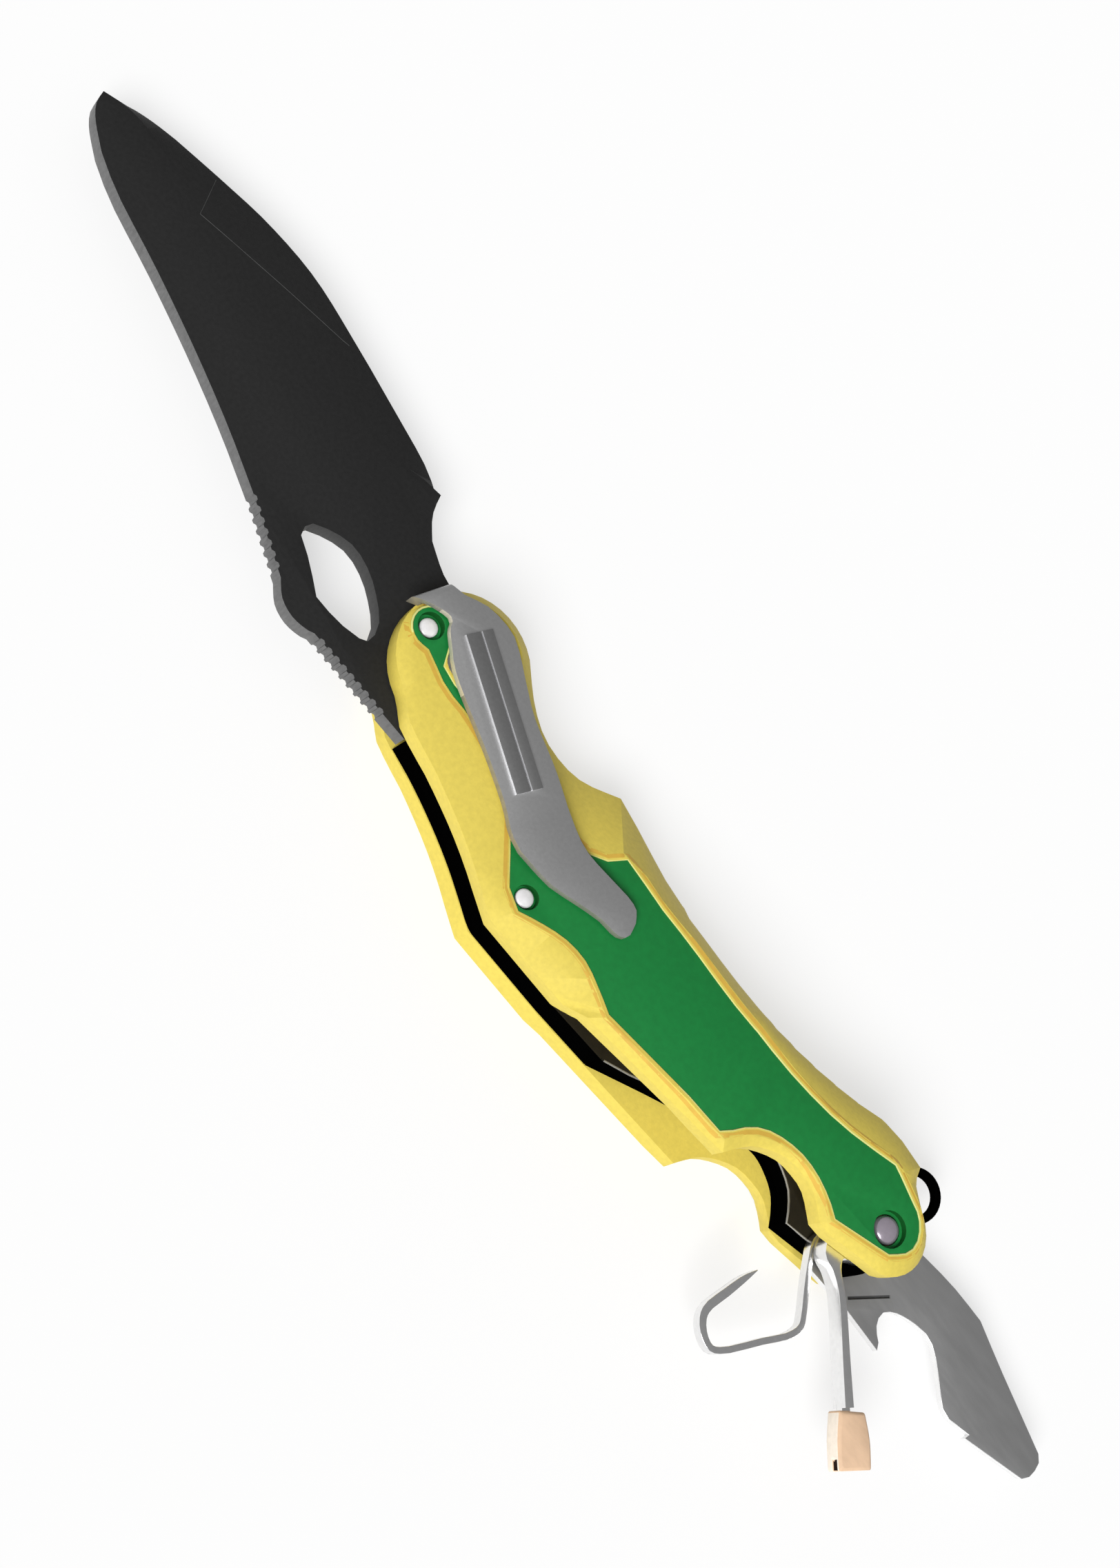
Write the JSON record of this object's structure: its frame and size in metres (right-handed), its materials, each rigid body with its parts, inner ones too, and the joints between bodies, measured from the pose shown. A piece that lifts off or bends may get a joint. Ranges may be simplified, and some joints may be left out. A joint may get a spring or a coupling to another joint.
{
  "type": "rigging knife",
  "caption": "Folding rigging knife with a thumb-hole blade, pocket clip and lanyard loop, and an opener, a pointed hook and a wooden-headed seam rubber on one tail pin.",
  "frame": {"origin": "on the rest face, the far scale's outer face, under the middle of the handle", "axes": "+X along the knife towards the blade tip, +Y towards the spine side, +Z through the thickness towards the clip side"},
  "size_m": [0.2088, 0.0474, 0.017],
  "materials": {
    "scale": "fine grained, satin",
    "inlay": "smooth matte",
    "spacer": "matte",
    "blade": "matte black coating",
    "clip": "bead blasted",
    "steel": "bead blasted",
    "bright": "polished",
    "bronze": "plain",
    "wood": "fine sanded"
  },
  "bodies": {
    "handle": {"scale_near": "scale", "scale_far": "scale", "inlay_near": "inlay", "inlay_far": "inlay", "back_spacer": "spacer", "liner_far": "steel", "detent_ball": "bright", "stop_pin": "bright", "pivot_barrel": "steel", "pivot_screw": "steel", "washer_far": "bronze", "washer_near": "bronze", "pocket_clip": "clip", "clip_stud": "steel", "top_screw": "bright", "mid_screw": "bright", "mid_nut": "bright", "tail_pin": "bright", "tail_nut": "bright", "tail_washer_1": "bronze", "tail_washer_2": "bronze", "tail_washer_3": "bronze", "tail_washer_4": "bronze"},
    "blade": {"blade": "blade"},
    "opener": {"opener": "steel"},
    "hook": {"hook": "bright"},
    "rubber": {"rubber_arm": "bright", "rubber_head": "wood"}
  },
  "joints": [
    {"name": "blade_pivot", "type": "hinge", "parent": "handle", "child": "blade", "pos_m": [0.045, 0.002, 0.00645], "axis": [0, 0, 1], "range_deg": [-170, 0]},
    {"name": "opener_pivot", "type": "hinge", "parent": "handle", "child": "opener", "pos_m": [-0.0414, 0.0051, 0.0043], "axis": [0, 0, 1], "range_deg": [-180, 0]},
    {"name": "hook_pivot", "type": "hinge", "parent": "handle", "child": "hook", "pos_m": [-0.0414, 0.0051, 0.0091], "axis": [0, 0, 1], "range_deg": [-100, 0]},
    {"name": "rubber_pivot", "type": "hinge", "parent": "handle", "child": "rubber", "pos_m": [-0.0414, 0.0051, 0.01165], "axis": [0, 0, 1], "range_deg": [-125, 0]}
  ]
}
